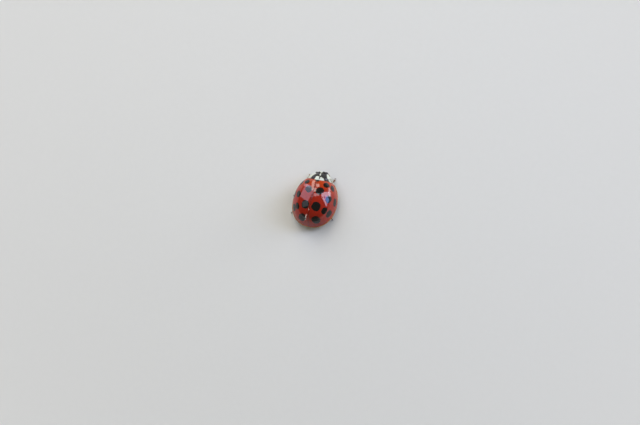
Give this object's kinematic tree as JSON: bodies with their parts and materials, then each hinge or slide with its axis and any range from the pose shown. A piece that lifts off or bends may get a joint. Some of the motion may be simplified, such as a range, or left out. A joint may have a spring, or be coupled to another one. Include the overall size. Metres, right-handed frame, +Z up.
{
  "type": "harlequin ladybird figure",
  "caption": "Life-size ladybird standing with its wing cases closed: red, black-spotted domed back, ivory shield with a black mark, short legs under the rim.",
  "frame": {"origin": "on the floor, under the middle of the bounding box", "axes": "+Z up; the head faces -Y, the tail +Y; the animal's left side is +X"},
  "size_m": [0.006, 0.0076, 0.0032],
  "materials": {
    "wing_case_red": "glossy orange-red cuticle with black spots and a narrow tan rim",
    "shield_ivory": "glossy ivory cuticle with a black M-shaped mark",
    "scutellum_black": "glossy black cuticle",
    "head_black": "glossy black cuticle with a cream patch on the forehead",
    "eye_black": "finely faceted black compound eye",
    "antenna_tan": "yellowish-brown cuticle, darker at the club",
    "palp_brown": "brown cuticle",
    "underside_dark": "finely pitted blackish-brown cuticle with short pale hairs",
    "abdomen_brown": "reddish-brown belly plates, darker in the middle",
    "leg_dark": "dark brown cuticle with short fine hairs",
    "foot_tan": "yellowish-brown feet with pale pads"
  },
  "bodies": {
    "root": {"head": "head_black", "mouthparts": "palp_brown", "pronotum": "shield_ivory", "prothorax": "underside_dark", "thorax": "underside_dark", "abdomen": "abdomen_brown", "scutellum": "scutellum_black", "elytron_left": "wing_case_red", "elytron_right": "wing_case_red", "eye_left": "eye_black", "antenna_left": "antenna_tan", "palp_left": "palp_brown", "eye_right": "eye_black", "antenna_right": "antenna_tan", "palp_right": "palp_brown", "femur_front_left": "leg_dark", "tibia_front_left": "leg_dark", "tarsus_front_left": "foot_tan", "femur_front_right": "leg_dark", "tibia_front_right": "leg_dark", "tarsus_front_right": "foot_tan", "femur_middle_left": "leg_dark", "tibia_middle_left": "leg_dark", "tarsus_middle_left": "foot_tan", "femur_middle_right": "leg_dark", "tibia_middle_right": "leg_dark", "tarsus_middle_right": "foot_tan", "femur_hind_left": "leg_dark", "tibia_hind_left": "leg_dark", "tarsus_hind_left": "foot_tan", "femur_hind_right": "leg_dark", "tibia_hind_right": "leg_dark", "tarsus_hind_right": "foot_tan"}
  },
  "joints": []
}
